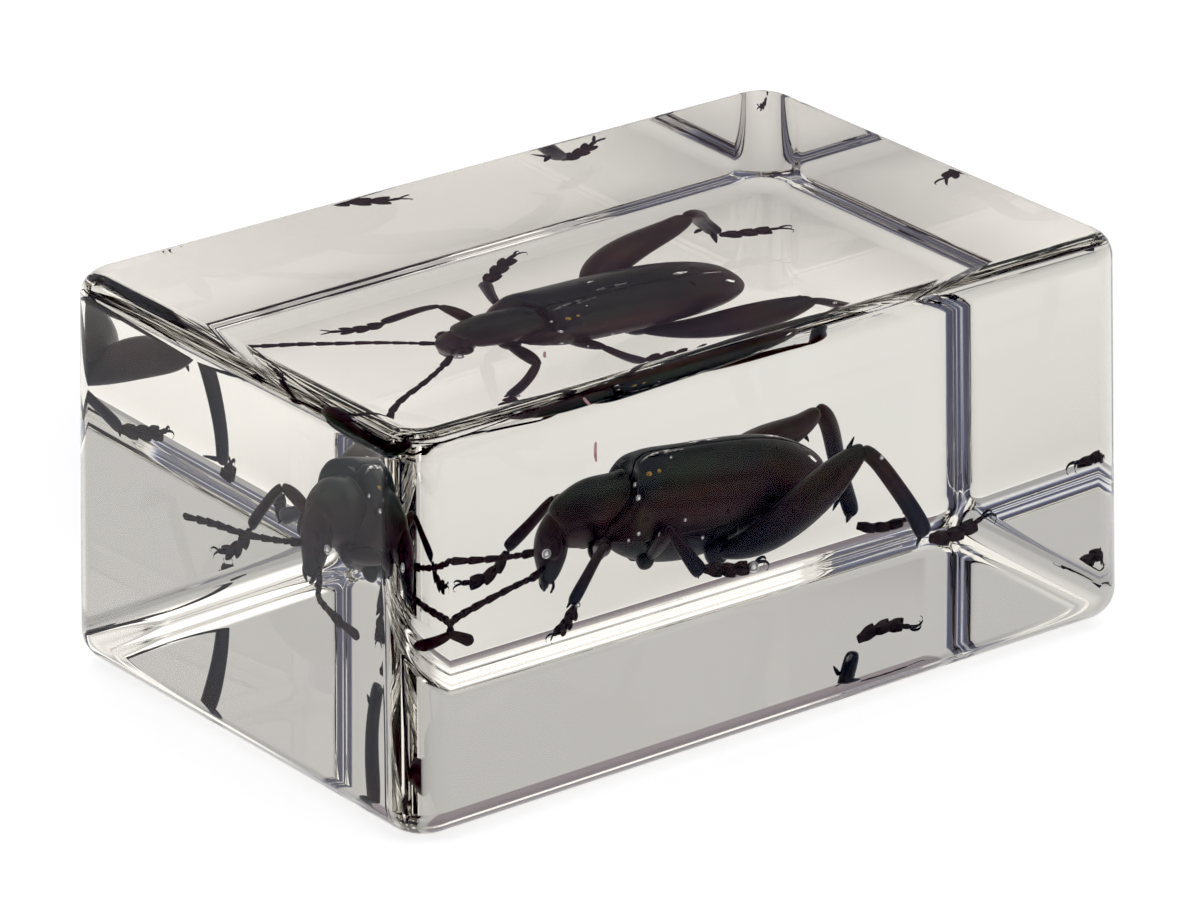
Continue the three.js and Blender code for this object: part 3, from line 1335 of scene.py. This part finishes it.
def square_mask(tree, place, reach, greys):
    """Greys that follow the distance from a place, on rectangles."""
    parts = add_node(tree, "ShaderNodeSeparateXYZ", {"Vector": offset_from(tree, place, reach)})
    larger = add_node(
        tree, "ShaderNodeMath", {0: parts.outputs["X"], 1: parts.outputs["Y"]}, operation="MAXIMUM")
    return ramp(tree, larger.outputs["Value"], greys)


def make_floor():
    let_go()
    bpy.ops.mesh.primitive_grid_add(
        x_subdivisions=8, y_subdivisions=8, size=FLOOR_SIZE, location=(0, 0, -FLOOR_DROP))
    floor = just_added()
    floor.name = "floor"
    material, tree, shader = new_material(
        "pale light table", Roughness=0.9, Emission_Strength=FLOOR_GLOW / OUTSIDE_SHARE)
    tone = place_group(tree, CLOUDY, Scale=3)
    colour = ramp(tree, tone, [(0.0, grey(0.87)), (1.0, grey(0.89))])
    glow = ramp(tree, tone, [(0.0, grey(0.97)), (1.0, grey(1))])
    shade = round_mask(tree, SHADE_PLACE, SHADE_REACH, SHADE_GREYS)
    under = square_mask(tree, UNDER_PLACE, UNDER_REACH, UNDER_GREYS)
    feed(tree, shader, multiplied(tree, colour, shade), "Base Color")
    feed(tree, shader, multiplied(tree, multiplied(tree, glow, shade), under), "Emission Color")
    floor.data.materials.append(material)
    return floor


floor = make_floor()
print("Floor:", floor.name)

# %% [markdown]
# ## The room
# The sky grows brighter with height. One side is dark and bluish, as if a dim room lay behind the
# viewer, and the rounded edges bend that side into the blue-grey streaks that outline a real block.
# The low sky across from it is hazier, which keeps the top face clear enough to look through, and one
# bright window puts the white streaks along the bottom edges. All of it is one world shader, fixed to
# the room: a dot product with a direction says how near a view is to each side.

# %% World
DARK_SIDE = Vector((-0.60, -0.72, 0.34)).normalized()
HAZE_SIDE = Vector((0.602, 0.799, 0.0))
BRIGHT_SIDE = Vector((0.612, -0.461, 0.643))
HAZE_SHADE = (0.55, 0.49, 0.53, 1)
SKY_GREYS = [
    (0.0, (0.45, 0.45, 0.47)),
    (0.20, (0.48, 0.48, 0.49)),
    (0.30, (0.62, 0.62, 0.64)),
    (0.55, (0.63, 0.63, 0.64)),
    (0.80, grey(0.96)),
]
DARK_GREYS = [
    (0.72, grey(1)),
    (0.78, (0.62, 0.68, 0.86)),
    (0.84, (0.20, 0.22, 0.36)),
    (1.0, (0.15, 0.15, 0.22)),
]


def make_world():
    world = bpy.data.worlds.new("soft studio")
    world.use_nodes = True
    tree = world.node_tree
    look = tree.nodes.new("ShaderNodeTexCoord").outputs["Generated"]

    def towards(direction):
        """How squarely a view looks towards a direction: 1 straight at it, 0 across it."""
        return add_node(
            tree, "ShaderNodeVectorMath", {0: look, 1: direction}, operation="DOT_PRODUCT",
        ).outputs["Value"]

    height = add_node(tree, "ShaderNodeSeparateXYZ", {"Vector": look}).outputs["Z"]
    sky = ramp(tree, height, SKY_GREYS)
    shades = multiplied(tree, sky, ramp(tree, towards(DARK_SIDE), DARK_GREYS))
    beside = ramp(tree, towards(HAZE_SIDE), [(0.88, grey(0)), (0.905, grey(1))])
    below = ramp(tree, height, [(0.385, grey(1)), (0.403, grey(0))])
    haze = mixed(tree, multiplied(tree, beside, below), (1, 1, 1, 1), HAZE_SHADE)
    window = ramp(tree, towards(BRIGHT_SIDE), [(0.955, grey(0)), (0.985, grey(1))])
    power = add_node(tree, "ShaderNodeMath", {0: window, 1: 1}, operation="ADD")
    background = tree.nodes["Background"]
    feed(tree, background, multiplied(tree, shades, haze), "Color")
    feed(tree, background, power.outputs[0], "Strength")
    bpy.context.scene.world = world
    return world


print("World:", make_world().name)

# %% [markdown]
# Light that crosses a clear block is bent and thrown back many times before it comes out, so the
# number of bounces is raised. The Standard view keeps the white of the floor white, and a black level
# just above nought keeps the beetle dark behind the faint mirror light of the block's faces.

# %% Bounces and view
BOUNCES = 24
GLOSSY_BOUNCES = 16
BLACK_LEVEL = 0.028

scene = bpy.context.scene
scene.cycles.max_bounces = BOUNCES
scene.cycles.transmission_bounces = BOUNCES
scene.cycles.glossy_bounces = GLOSSY_BOUNCES
scene.view_settings.view_transform = "Standard"
scene.view_settings.look = "None"
scene.view_settings.use_curve_mapping = True
curves = scene.view_settings.curve_mapping
curves.black_level = grey(BLACK_LEVEL)
curves.update()
print("Bounces:", scene.cycles.max_bounces)
